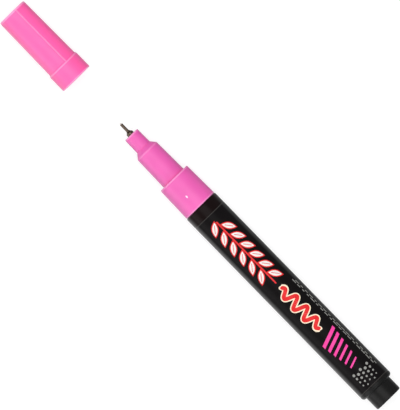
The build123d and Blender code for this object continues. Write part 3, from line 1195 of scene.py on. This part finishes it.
@dataclass(frozen=True)
class PrintMark:
    """One printed mark: a strip of ink along its own x axis, in millimetres."""

    motif: Motif
    length: float
    width: float
    steps: int = 16
    columns: int = 6
    lean: float = 0.0
    wave_length: float = 4.7
    wave_height: float = 2.0
    wave_fade: int = 4
    leaf_power: float = 0.9
    leaf_growth: float = 3.2

    def grown(self, margin: float) -> "PrintMark":
        """The same mark, wider all round by a margin. A leaf's points go farther out."""
        growth = self.leaf_growth if self.motif is Motif.LEAF else 2
        return replace(self, length=self.length + growth * margin, width=self.width + 2 * margin)

    def half_width(self, share: float) -> float:
        """Half the strip's width at one place.

        Args:
            share: Share of the strip's length.

        Returns:
            Half the width there.
        """
        half = self.width / 2
        if self.motif is Motif.BAR:
            return half
        if self.motif is Motif.LEAF:
            return half * math.sin(math.pi * share) ** self.leaf_power
        end = min(self.width, self.length) / 2
        short = max(0.0, 1 - min(share, 1 - share) * self.length / end)
        return half * math.sqrt(max(0.0, 1 - short**2))

    def swing(self, x: float) -> float:
        """Height of a wave's middle line, which dies away at both ends."""
        fade = 1 - min(1.0, abs(2 * x / self.length)) ** self.wave_fade
        return self.wave_height * fade * math.sin(math.tau * x / self.wave_length)

    def point(self, share: float, across: float) -> Point:
        """Place on the film of a point of the strip.

        Args:
            share: Share of the strip's length.
            across: Place across the strip, from -1 to 1.

        Returns:
            Distance along the film and round it.
        """
        x = (share - 0.5) * self.length
        offset = across * self.half_width(share)
        if self.motif is not Motif.WAVE:
            return x + self.lean * offset, offset
        reach = 0.01
        slope = math.atan2(self.swing(x + reach) - self.swing(x - reach), 2 * reach)
        return x - math.sin(slope) * offset, self.swing(x) + math.cos(slope) * offset

    def shares(self) -> list[float]:
        """Cuts across the strip, closer at the ends of a round-ended one.

        Returns:
            Share of the length at each cut.
        """
        even = [step / self.steps for step in range(self.steps + 1)]
        if self.motif in (Motif.LEAF, Motif.BAR):
            return even
        return [(1 - math.cos(math.pi * share)) / 2 for share in even]

    def build(self, name: str, floor: float, top: float) -> Piece:
        """The mark as a flat closed shell.

        Args:
            name: Name of the object.
            floor: Height of its underside.
            top: Height of its printed face.

        Returns:
            The object, its height along z.
        """
        shares = self.shares()
        across = [2 * column / self.columns - 1 for column in range(self.columns + 1)]
        ring = [(place, floor) for place in across] + [(place, top) for place in reversed(across)]
        vertices = [(*self.point(share, place), height) for share in shares for place, height in ring]
        count = len(ring)
        faces = skin(len(shares), count)
        for end in (0, (len(shares) - 1) * count):
            for column in range(self.columns):
                above = end + count - 1 - column
                faces.append((end + column, end + column + 1, above - 1, above))
        return new_object(name, vertices, faces)


@dataclass(frozen=True)
class PrintRow:
    """Rows of one mark on the film, in one ink."""

    name: str
    mark: PrintMark
    ink: Ink
    layer: Layer = Layer.FIRST
    start: float = 0.0
    across: float = 0.0
    columns: int = 1
    rows: int = 1
    pitch: float = 0.0
    row_pitch: float = 0.0
    stagger: float = 0.0
    tilt: float = 0.0
    flip: float = 0.0
    end_scale: float = 1.0
    jitter: float = 0.0
    seed: int = 3


class ShapeTree:
    """Geometry nodes with named inputs, run on an object and kept as its plain mesh."""

    name: str = ""
    counts: Sequence[str] = ()
    numbers: Sequence[str] = ()
    lengths: Sequence[str] = ()

    def __init__(self) -> None:
        """Builds the tree."""
        self.tree = bpy.data.node_groups.new(self.name, "GeometryNodeTree")
        face = self.tree.interface
        face.new_socket(name="Start", in_out="INPUT", socket_type="NodeSocketGeometry")
        for label in self.counts:
            face.new_socket(name=label, in_out="INPUT", socket_type="NodeSocketInt")
        for label in (*self.numbers, *self.lengths, "Axis Height"):
            face.new_socket(name=label, in_out="INPUT", socket_type="NodeSocketFloat")
        face.new_socket(name="Material", in_out="INPUT", socket_type="NodeSocketMaterial")
        face.new_socket(name="Result", in_out="OUTPUT", socket_type="NodeSocketGeometry")
        graph = Graph(self.tree)
        given = graph.node("NodeGroupInput").outputs
        made = graph.node("GeometryNodeRealizeInstances", {0: self.shape(graph, given)}).outputs[0]
        inputs = {"Geometry": made, "Material": given["Material"]}
        graph.node("NodeGroupOutput", {0: graph.node("GeometryNodeSetMaterial", inputs).outputs[0]})

    def shape(self, graph: Graph, given: Outputs) -> Socket:
        """The tree's own nodes, from its inputs to the shape."""
        raise NotImplementedError

    def run(self, piece: Piece, finish: Finish, values: dict[str, float]) -> Piece:
        """Runs the tree.

        Args:
            piece: Object that the tree starts from.
            finish: Finish of what the tree makes.
            values: Values of the tree's own inputs, its lengths in millimetres.

        Returns:
            The same object, with the made mesh and no modifier.
        """
        modifier = piece.modifiers.new("shape", "NODES")
        modifier.node_group = self.tree
        given = {"Axis Height": AXIS_HEIGHT, "Material": finish.material(), **values}
        for name in (*self.lengths, "Axis Height"):
            given[name] *= MM
        for item in self.tree.interface.items_tree:
            if item.in_out == "INPUT" and item.name in given:
                modifier[item.identifier] = given[item.name]
        graph = bpy.context.evaluated_depsgraph_get()
        mesh = bpy.data.meshes.new_from_object(piece.evaluated_get(graph))
        piece.modifiers.clear()
        piece.data = mesh
        mesh.name = piece.name
        return piece


class PrintTree(ShapeTree):
    """Repeats a mark in rows and wraps the rows round the film."""

    name = "printed_rows"
    counts = ("Columns", "Rows", "Seed")
    numbers = ("Tilt", "Flip", "End Scale", "Jitter")
    spacings = ("Pitch", "Row Pitch", "Stagger", "Across")
    lengths = (*spacings, "Station", "Radius")

    def shape(self, graph: Graph, given: Outputs) -> Socket:
        """The rows, set out flat and then wrapped."""
        return self._wrap(graph, given, self._repeat(graph, given))

    @staticmethod
    def _repeat(graph: Graph, given: Outputs) -> Socket:
        """Sets the marks out flat, in staggered rows, and makes them real, so that they can be bent.

        Args:
            graph: The tree's graph.
            given: The tree's inputs.

        Returns:
            Socket of the flat marks.
        """
        index = graph.node("GeometryNodeInputIndex").outputs[0]
        column = graph.math("MODULO", index, given["Columns"])
        row = graph.math("FLOOR", graph.over(index, given["Columns"]))
        odd = graph.math("MODULO", row, 2.0)
        shift = graph.add(graph.times(odd, given["Stagger"]), given["Station"])
        along = graph.add(graph.times(column, given["Pitch"]), shift)
        middle = graph.over(graph.take(given["Rows"], 1.0), 2.0)
        across = graph.add(graph.times(graph.take(row, middle), given["Row Pitch"]), given["Across"])
        count = graph.times(given["Columns"], given["Rows"])
        points = graph.node("GeometryNodePoints", {"Count": count, "Position": graph.join(along, across)})
        sign = graph.take(1.0, graph.times(odd, given["Flip"]))
        share = graph.over(column, graph.most(graph.take(given["Columns"], 1.0), 1.0))
        scale = graph.add(1.0, graph.times(share, graph.take(given["End Scale"], 1.0)))
        draw = {2: -1.0, 3: 1.0, "Seed": given["Seed"]}
        chance = graph.node("FunctionNodeRandomValue", draw, data_type="FLOAT").outputs[1]
        stretch = graph.add(1.0, graph.times(chance, given["Jitter"]))
        inputs = {
            "Points": points.outputs[0],
            "Instance": given["Start"],
            "Rotation": graph.join(0.0, 0.0, graph.times(given["Tilt"], sign)),
            "Scale": graph.join(graph.times(scale, stretch), scale, 1.0),
        }
        copies = graph.node("GeometryNodeInstanceOnPoints", inputs)
        return graph.node("GeometryNodeRealizeInstances", {0: copies.outputs[0]}).outputs[0]

    @staticmethod
    def _wrap(graph: Graph, given: Outputs, flat: Socket) -> Socket:
        """Bends the flat marks round the marker's axis.

        Args:
            graph: The tree's graph.
            given: The tree's inputs.
            flat: Socket of the flat marks.

        Returns:
            Socket of the wrapped marks.
        """
        place = graph.node("GeometryNodeInputPosition").outputs[0]
        x, across, height = (graph.axis(place, index) for index in range(3))
        angle = graph.over(across, given["Radius"])
        reach = graph.add(height, given["Radius"])
        side = graph.times(reach, graph.math("SINE", angle))
        rise = graph.add(graph.times(reach, graph.math("COSINE", angle)), given["Axis Height"])
        inputs = {"Geometry": flat, "Position": graph.join(x, side, rise)}
        return graph.node("GeometryNodeSetPosition", inputs).outputs[0]

    def print_row(self, row: PrintRow, radius: float, floor: float) -> Piece:
        """Prints rows of a mark.

        Args:
            row: What is printed, and where.
            radius: Radius of the film's face.
            floor: Height of the ink's underside over the film.

        Returns:
            The printed rows as one plain mesh.
        """
        values = {"Station": span("barrel_label")[0] + row.start, "Radius": radius}
        for name in (*self.counts, *self.numbers, *self.spacings):
            values[name] = getattr(row, name.lower().replace(" ", "_"))
        return self.run(row.mark.build(row.name, floor, row.layer.value), row.ink.value, values)


@dataclass
class Barrel:
    """The ink tank, its film and the pattern printed on the film."""

    radius: float = 6.25
    tank_radius: float = 5.05
    seat_radius: float = 6.15
    band_length: float = 4.0
    mouth_round: float = 0.1
    front_round: float = 0.55
    band_round: float = 0.04
    seam_gap: float = 0.3
    film_clearance: float = 0.002
    film_round: float = 0.03
    film_round_steps: int = 3
    film_turns: int = 160
    ink_sunk: float = 0.01
    outline_width: float = 0.36

    def build(self) -> None:
        """Builds the tank, the film and the print."""
        front, rear = span("barrel")
        band = front + self.band_length
        tank = Turned(
            "barrel_tube",
            [
                Corner(front, self.tank_radius, self.mouth_round),
                Corner(front, self.radius, self.front_round),
                Corner(band, self.radius, self.band_round),
                Corner(band, self.seat_radius),
                Corner(rear, self.seat_radius),
                Corner(rear, self.tank_radius),
            ],
        )
        settle(tank.build(), Body.MARKER, "black_plastic", GLOSS_BLACK, "barrel")
        settle(self._film(), Body.MARKER, "printed_film", FILM, "barrel_label")
        tree = PrintTree()
        for row in self._rows():
            piece = tree.print_row(row, self.radius, -self.ink_sunk)
            settle(piece, Body.MARKER, "printed_film", row.ink.value)

    def _film(self) -> Piece:
        """Wraps the film once round the barrel, its ends meeting underneath.

        Returns:
            The film, closed at both ends.
        """
        first, last = span("barrel_label")
        inner = self.seat_radius + self.film_clearance
        corners = [
            Corner(first, inner),
            Corner(first, self.radius, self.film_round),
            Corner(last, self.radius, self.film_round),
            Corner(last, inner),
        ]
        section = Turned("film_section", corners, round_steps=self.film_round_steps).outline()
        half_seam = self.seam_gap / 2 / self.seat_radius
        pitch = (math.tau - 2 * half_seam) / self.film_turns
        angles = [math.pi + half_seam + pitch * turn for turn in range(self.film_turns + 1)]
        vertices = [on_axis(x, radius, angle) for angle in angles for x, radius, _ in section]
        count = len(section)
        faces = skin(len(angles), count)
        for end in (0, self.film_turns * count):
            faces.append(tuple(range(end, end + count)))
        return new_object("label_film", vertices, faces)

    def _rows(self) -> list[PrintRow]:
        """The pattern: leaves on a stem, a wave, leaning bars, dots and fine dashes.

        Returns:
            Its rows, in the order of printing.
        """
        stem = PrintMark(Motif.DASH, length=27.5, width=0.5, steps=40, columns=4)
        leaf = PrintMark(Motif.LEAF, length=4.6, width=1.75)
        vein = PrintMark(Motif.DASH, length=2.9, width=0.2, steps=8, columns=2)
        wave = PrintMark(Motif.WAVE, length=18.5, width=1.3, steps=140)
        bar = PrintMark(Motif.BAR, length=1.25, width=7.4, lean=-0.36, steps=4, columns=22)
        dash = PrintMark(Motif.DASH, length=1.5, width=0.34, steps=12, columns=2)
        dot = PrintMark(Motif.DOT, length=0.95, width=0.95, steps=12)
        spray = partial(
            PrintRow, start=4.6, columns=6, rows=2, pitch=4.25, row_pitch=4.3,
            stagger=2.1, tilt=math.radians(-40), flip=2.0,
        )
        ripple = partial(PrintRow, start=41.6)
        dashes = partial(PrintRow, mark=dash, ink=Ink.GREY, pitch=2.1, jitter=0.4)
        return [
            PrintRow("print_stem", stem, Ink.RED, start=16.8),
            spray("print_leaf_outlines", leaf.grown(self.outline_width), Ink.RED),
            spray("print_leaves", leaf, Ink.WHITE, Layer.SECOND),
            spray("print_leaf_veins", vein, Ink.RED, Layer.THIRD),
            ripple("print_wave_outline", wave.grown(self.outline_width), Ink.CREAM),
            ripple("print_wave", wave, Ink.RED, Layer.SECOND),
            PrintRow("print_bars", bar, Ink.PINK, start=54.6, columns=6, pitch=2.25, end_scale=0.5),
            PrintRow(
                "print_dots", dot, Ink.GREY, start=69.0, columns=4, rows=5, pitch=1.45, row_pitch=1.5,
                stagger=0.72, end_scale=0.55,
            ),
            dashes(
                "print_dashes", start=34.0, across=5.6, columns=18, rows=2, row_pitch=0.8, stagger=0.9, seed=7
            ),
            dashes(
                "print_back_dashes", start=12.0, across=-14.2, columns=24, rows=5, row_pitch=0.95,
                stagger=0.7, seed=11,
            ),
            PrintRow(
                "print_back_dots", dot, Ink.WHITE, start=12.0, across=12.6, columns=16, rows=2, pitch=3.2,
                row_pitch=2.4, stagger=1.6, end_scale=0.45,
            ),
        ]


@dataclass
class TailPlug:
    """The matt plug that closes the tank."""

    boss_radius: float = 5.0
    boss_length: float = 5.2
    flange_radius: float = 6.25
    flange_thickness: float = 1.6
    spigot_radius: float = 4.9
    bead_height: float = 0.12
    bead_top: float = 0.08
    bead_foot: float = 0.224
    wall: float = 1.3
    boss_round: float = 0.5
    root_round: float = 0.15
    flange_round: float = 1.0
    seat_round: float = 0.12
    spigot_round: float = 0.3
    core_round: float = 0.4

    def build(self) -> None:
        """Builds the plug."""
        front, face = span("tail_plug")
        flange_rear = face - self.boss_length
        flange_front = flange_rear - self.flange_thickness
        bore = self.boss_radius - self.wall
        bead = (front + flange_front) / 2
        bead_radius = self.spigot_radius + self.bead_height
        plug = Turned(
            "tail_stopper",
            [
                Corner(face, 0),
                Corner(face, self.boss_radius, self.boss_round),
                Corner(flange_rear, self.boss_radius, self.root_round),
                Corner(flange_rear, self.flange_radius, self.flange_round),
                Corner(flange_front, self.flange_radius, self.seat_round),
                Corner(flange_front, self.spigot_radius),
                Corner(bead + self.bead_foot, self.spigot_radius),
                Corner(bead + self.bead_top, bead_radius),
                Corner(bead - self.bead_top, bead_radius),
                Corner(bead - self.bead_foot, self.spigot_radius),
                Corner(front, self.spigot_radius, self.spigot_round),
                Corner(front, bore),
                Corner(face - self.wall, bore, self.core_round),
                Corner(face - self.wall, 0),
            ],
            closed=False,
        )
        settle(plug.build(), Body.MARKER, "matt_black_plastic", MATT_BLACK, "tail_plug")


class CoilTree(ShapeTree):
    """Winds a wire along the marker's axis."""

    name = "wound_wire"
    numbers = ("Turns",)
    lengths = ("Coil Radius", "Wire Radius", "Length", "Station")
    turn_steps: int = 40
    wire_sides: int = 14

    def shape(self, graph: Graph, given: Outputs) -> Socket:
        """Winds the wire upright and lays it along the axis.

        Args:
            graph: The tree's graph.
            given: The tree's inputs.

        Returns:
            Socket of the wound wire.
        """
        inputs = {
            "Resolution": self.turn_steps,
            "Rotations": given["Turns"],
            "Start Radius": given["Coil Radius"],
            "End Radius": given["Coil Radius"],
            "Height": given["Length"],
        }
        spiral = graph.node("GeometryNodeCurveSpiral", inputs).outputs[0]
        inputs = {"Resolution": self.wire_sides, "Radius": given["Wire Radius"]}
        ring = graph.node("GeometryNodeCurvePrimitiveCircle", inputs).outputs[0]
        inputs = {"Curve": spiral, "Profile Curve": ring, "Fill Caps": True}
        wire = graph.node("GeometryNodeCurveToMesh", inputs).outputs[0]
        place = graph.join(given["Station"], 0.0, given["Axis Height"])
        inputs = {"Geometry": wire, "Translation": place, "Rotation": (0, math.pi / 2, 0)}
        return graph.node("GeometryNodeTransform", inputs).outputs[0]


@dataclass
class Valve:
    """The spring valve behind the tip, and the loose ball in the tank."""

    spring_turns: float = 5.0
    spring_radius: float = 1.7
    wire_radius: float = 0.225

    def build(self) -> None:
        """Winds the spring and dresses the pieces round it."""
        first, last = span("valve_spring")
        piece = new_object("valve_coil", [(first, 0, AXIS_HEIGHT)], [])
        values = {
            "Turns": self.spring_turns,
            "Coil Radius": self.spring_radius,
            "Wire Radius": self.wire_radius,
            "Length": last - first - 2 * self.wire_radius,
            "Station": first + self.wire_radius,
        }
        CoilTree().run(piece, SPRING_STEEL, values)
        piece.data.shade_smooth()
        settle(piece, Body.MARKER, "steel", SPRING_STEEL, "valve_spring")
        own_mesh(piece)
        for node in ("valve_seat", "valve_stem", "valve_cage"):
            dress_node(node, NATURAL)
        dress_node("valve_gasket", RUBBER)
        dress_node("mixing_ball", BALL_STEEL)


@dataclass(frozen=True)
class Lamp:
    """A soft lamp that faces the marker, in metres and watts, or a card that only gloss shows."""

    name: str
    place: Place
    size: Point
    power: float
    gloss_only: bool = False

    def build(self) -> None:
        """Hangs the lamp."""
        data = bpy.data.lights.new(self.name, "AREA")
        data.shape = "RECTANGLE"
        data.size, data.size_y = self.size
        data.energy = self.power
        lamp = bpy.data.objects.new(self.name, data)
        lamp.location = self.place
        lamp.visible_diffuse = not self.gloss_only
        lamp.rotation_euler = (-Vector(self.place)).to_track_quat("-Z", "Y").to_euler()
        bpy.context.scene.collection.objects.link(lamp)


@dataclass
class Studio:
    """White floor, soft lamps, and a camera straight above the marker."""

    turn: float = 45.707
    centre: Point = (-0.2, 0.05)
    frame_height: float = 131.2
    lens: float = 1500.0
    sensor: float = 36.0
    sight_end: float = 20.0
    floor_size: float = 4.0
    floor_tint: float = 0.34
    floor_glow: float = 0.72
    far_shade: float = 0.95
    shade_start: Point = (0.004, 0.01)
    shade_end: Point = (0.06, 0.12)
    fill: float = 0.45
    fill_lean: float = 0.25
    lamps: tuple[Lamp, ...] = (
        Lamp("key_lamp", (-0.05, 0.0, 1.08), (0.9, 0.9), 7.8),
        Lamp("front_lamp", (-0.6, -0.05, 0.32), (0.35, 0.35), 0.8),
        Lamp("rear_lamp", (0.6, -0.05, 0.32), (0.35, 0.35), 1.1),
        Lamp("side_card", (0.0, -0.6, 0.22), (1.4, 0.42), 4.9, gloss_only=True),
        Lamp("near_lamp", (0.0, -0.6, 0.07), (1.4, 0.1), 0.5),
    )

    def build(self) -> None:
        """Builds the floor, the sky, the lamps and the camera."""
        self._floor()
        self._sky()
        for lamp in self.lamps:
            lamp.build()
        self._camera()

    def _floor(self) -> None:
        """A floor seen white that keeps the shadow, and in gloss is darker on the marker's far side."""
        half = self.floor_size / 2 / MM
        corners = [(-half, -half, 0), (half, -half, 0), (half, half, 0), (-half, half, 0)]
        floor = new_object("floor", corners, [(0, 1, 2, 3)])
        made = bpy.data.materials.new("white_floor")
        made.use_nodes = True
        graph = Graph(made.node_tree)
        matt = graph.node("ShaderNodeBsdfDiffuse", {"Color": (*[self.floor_tint] * 3, 1.0)})
        across = graph.axis(graph.place(), 1)
        start = graph.fit(across, self.shade_start, (0.0, self.far_shade))
        shade = graph.times(start, graph.fit(across, self.shade_end, (1.0, 0.0)))
        mirrored = graph.times(shade, graph.node("ShaderNodeLightPath").outputs["Is Glossy Ray"])
        lit = graph.times(graph.take(1.0, mirrored), self.floor_glow)
        strength = graph.times(self._seen(graph), lit)
        glow = graph.node("ShaderNodeEmission", {"Color": WHITE, "Strength": strength})
        both = graph.node("ShaderNodeAddShader", {0: matt.outputs[0], 1: glow.outputs[0]})
        graph.node("ShaderNodeOutputMaterial", {0: both.outputs[0]})
        floor.data.materials.append(made)

    @staticmethod
    def _seen(graph: Graph) -> Socket:
        """Tells the rays that see the background: the camera's, and those in gloss or clear material.

        Args:
            graph: Graph of the floor or the sky.

        Returns:
            Socket of the mask.
        """
        path = graph.node("ShaderNodeLightPath").outputs
        mirrored = graph.most(path["Is Glossy Ray"], path["Is Transmission Ray"])
        return graph.most(mirrored, path["Is Camera Ray"])

    def _sky(self) -> None:
        """Fill light, a little stronger from the far side, seen as white."""
        world = bpy.data.worlds.new("studio")
        world.use_nodes = True
        graph = Graph(world.node_tree)
        seen = self._seen(graph)
        heading = graph.axis(graph.node("ShaderNodeTexCoord").outputs["Generated"], 1)
        lean = (self.fill * (1 - self.fill_lean), self.fill * (1 + self.fill_lean))
        fill = graph.times(graph.take(1.0, seen), graph.fit(heading, (-1.0, 1.0), lean))
        back = graph.node("ShaderNodeBackground", {"Color": WHITE, "Strength": graph.add(seen, fill)})
        graph.node("ShaderNodeOutputWorld", {0: back.outputs[0]})
        bpy.context.scene.world = world

    def _camera(self) -> None:
        """A long lens straight above, turned so that the marker runs down to the right."""
        data = bpy.data.cameras.new("sight")
        data.sensor_fit = "VERTICAL"
        data.sensor_height = self.sensor
        data.sensor_width = self.sensor
        data.lens = self.lens
        data.clip_end = self.sight_end
        camera = bpy.data.objects.new("sight", data)
        distance = self.frame_height * self.lens / self.sensor
        camera.location = Vector((*self.centre, AXIS_HEIGHT + distance)) * MM
        camera.rotation_euler = (0, 0, math.radians(self.turn))
        bpy.context.scene.collection.objects.link(camera)
        bpy.context.scene.camera = camera


def main() -> None:
    """Builds every piece and the studio."""
    logging.basicConfig(level=logging.INFO, format="%(name)s: %(message)s")
    bpy.context.scene.view_settings.view_transform = "Standard"
    for part in (Cap(), FrontSection(), NeedleTip(), Barrel(), TailPlug(), Valve(), Studio()):
        part.build()
        LOG.info("%s done", type(part).__name__)


if __name__ == "__main__":
    main()
